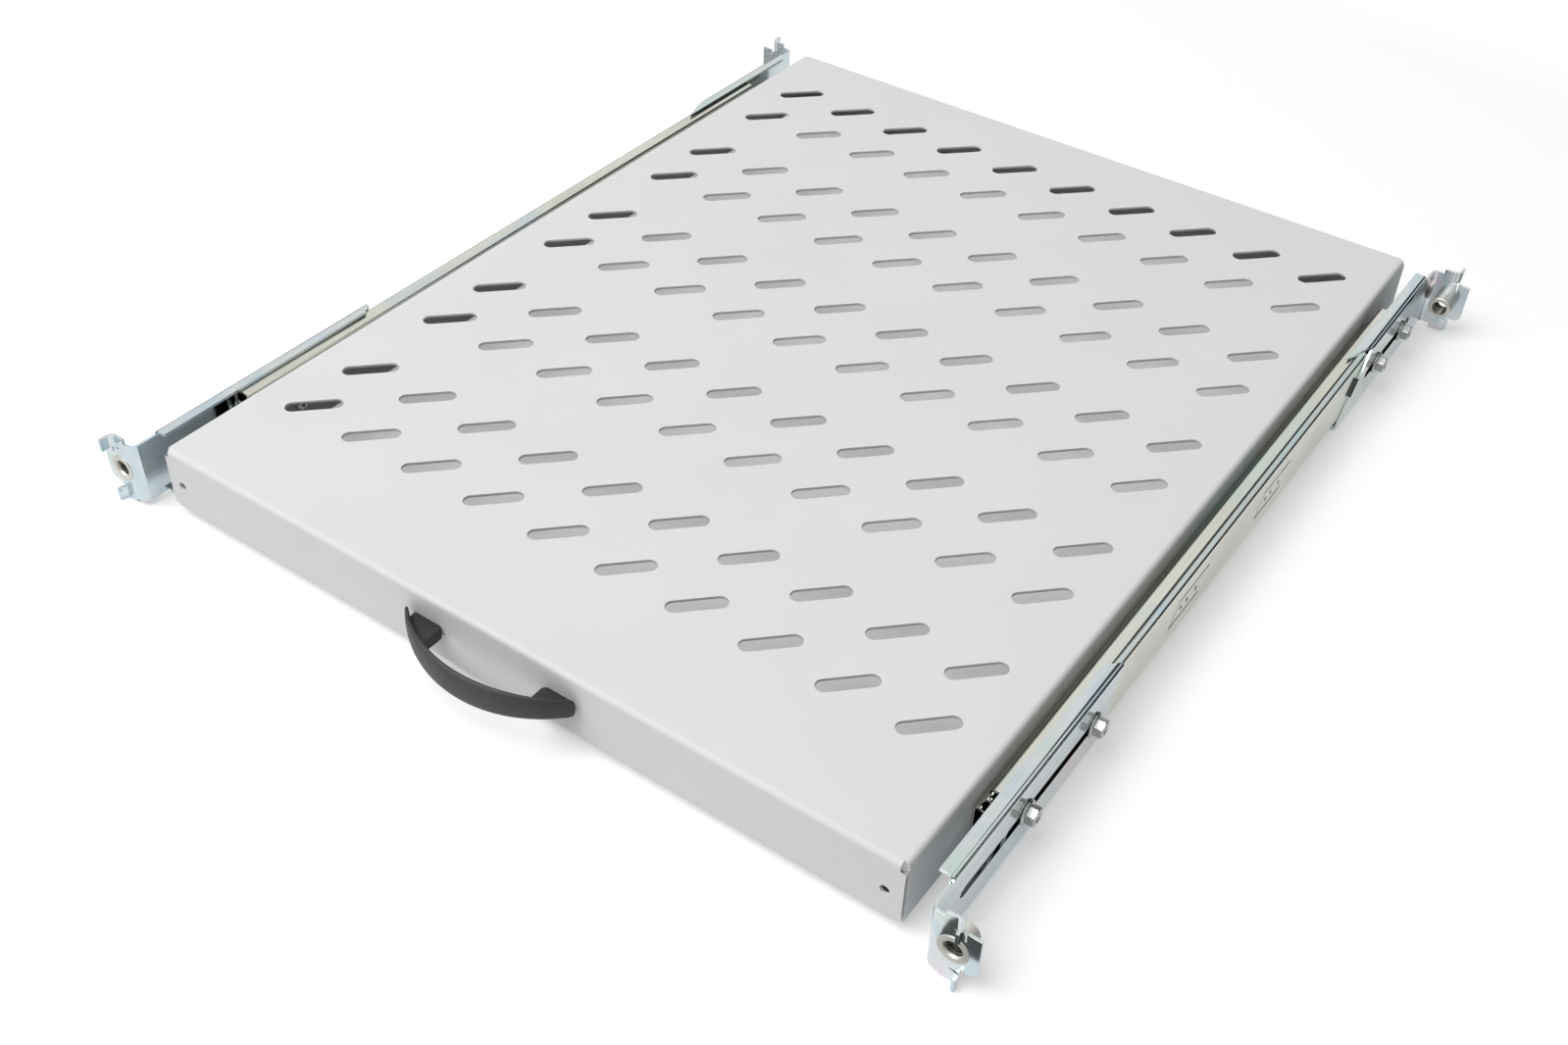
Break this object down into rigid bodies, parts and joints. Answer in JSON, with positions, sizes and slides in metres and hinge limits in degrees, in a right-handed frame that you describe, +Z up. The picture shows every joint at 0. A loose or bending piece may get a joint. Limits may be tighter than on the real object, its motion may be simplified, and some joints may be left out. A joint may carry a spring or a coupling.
{
  "type": "sliding rack shelf",
  "caption": "Pull-out perforated sheet-metal shelf on ball-bearing telescopic slides with depth-adjustable hook brackets for a 19-inch equipment rack.",
  "frame": {"origin": "midway between the two front fixing holes, on the face of the front brackets that meets the posts", "axes": "+X to the right seen from the front, +Y to the back of the rack, +Z up; the tray pulls out along -Y"},
  "size_m": [0.4872, 0.5696, 0.0395],
  "materials": {
    "shelf_paint": "light grey fine-texture powder coat",
    "handle_plastic": "satin moulded plastic",
    "slide_zinc": "bright zinc plated",
    "cage_steel": "zinc plated",
    "ball_steel": "polished",
    "bumper_plastic": "moulded",
    "bracket_zinc": "bluish bright zinc plated",
    "insert_steel": "nickel plated",
    "bolt_steel": "bright zinc plated"
  },
  "bodies": {
    "rails": {"outer_rail_left": "slide_zinc", "rear_bumper_left": "bumper_plastic", "front_bolts_left": "bolt_steel", "rear_bolts_left": "bolt_steel", "outer_rail_right": "slide_zinc", "rear_bumper_right": "bumper_plastic", "front_bolts_right": "bolt_steel", "rear_bolts_right": "bolt_steel"},
    "tray": {"tray": "shelf_paint", "handle": "handle_plastic", "inner_rail_left": "slide_zinc", "inner_rail_right": "slide_zinc"},
    "middle_left": {"middle_rail_left": "slide_zinc"},
    "outer_cage_left": {"outer_ball_cage_left": "cage_steel", "outer_balls_left": "ball_steel"},
    "inner_cage_left": {"inner_ball_cage_left": "cage_steel", "inner_balls_left": "ball_steel"},
    "front_bracket_left": {"front_bracket_left": "bracket_zinc", "front_insert_left": "insert_steel"},
    "rear_bracket_left": {"rear_bracket_left": "bracket_zinc", "rear_insert_left": "insert_steel"},
    "middle_right": {"middle_rail_right": "slide_zinc"},
    "outer_cage_right": {"outer_ball_cage_right": "cage_steel", "outer_balls_right": "ball_steel"},
    "inner_cage_right": {"inner_ball_cage_right": "cage_steel", "inner_balls_right": "ball_steel"},
    "front_bracket_right": {"front_bracket_right": "bracket_zinc", "front_insert_right": "insert_steel"},
    "rear_bracket_right": {"rear_bracket_right": "bracket_zinc", "rear_insert_right": "insert_steel"}
  },
  "joints": [
    {"name": "tray_slide", "type": "slide", "parent": "rails", "child": "tray", "axis": [0, -1, 0], "range_m": [0, 0.425]},
    {"name": "middle_left_slide", "type": "slide", "parent": "rails", "child": "middle_left", "axis": [0, -1, 0], "range_m": [0, 0.2125]},
    {"name": "outer_cage_left_slide", "type": "slide", "parent": "rails", "child": "outer_cage_left", "axis": [0, -1, 0], "range_m": [0, 0.10625]},
    {"name": "inner_cage_left_slide", "type": "slide", "parent": "rails", "child": "inner_cage_left", "axis": [0, -1, 0], "range_m": [0, 0.31875]},
    {"name": "front_bracket_left_adjust", "type": "slide", "parent": "rails", "child": "front_bracket_left", "axis": [0, 1, 0], "range_m": [0, 0.045]},
    {"name": "rear_bracket_left_adjust", "type": "slide", "parent": "rails", "child": "rear_bracket_left", "axis": [0, 1, 0], "range_m": [-0.01, 0.012]},
    {"name": "middle_right_slide", "type": "slide", "parent": "rails", "child": "middle_right", "axis": [0, -1, 0], "range_m": [0, 0.2125]},
    {"name": "outer_cage_right_slide", "type": "slide", "parent": "rails", "child": "outer_cage_right", "axis": [0, -1, 0], "range_m": [0, 0.10625]},
    {"name": "inner_cage_right_slide", "type": "slide", "parent": "rails", "child": "inner_cage_right", "axis": [0, -1, 0], "range_m": [0, 0.31875]},
    {"name": "front_bracket_right_adjust", "type": "slide", "parent": "rails", "child": "front_bracket_right", "axis": [0, 1, 0], "range_m": [0, 0.045]},
    {"name": "rear_bracket_right_adjust", "type": "slide", "parent": "rails", "child": "rear_bracket_right", "axis": [0, 1, 0], "range_m": [-0.01, 0.012]}
  ],
  "couplings": [
    {"joint": "middle_left_slide", "follows": "tray_slide", "ratio": 0.5},
    {"joint": "outer_cage_left_slide", "follows": "tray_slide", "ratio": 0.25},
    {"joint": "inner_cage_left_slide", "follows": "tray_slide", "ratio": 0.75},
    {"joint": "middle_right_slide", "follows": "tray_slide", "ratio": 0.5},
    {"joint": "outer_cage_right_slide", "follows": "tray_slide", "ratio": 0.25},
    {"joint": "inner_cage_right_slide", "follows": "tray_slide", "ratio": 0.75}
  ]
}
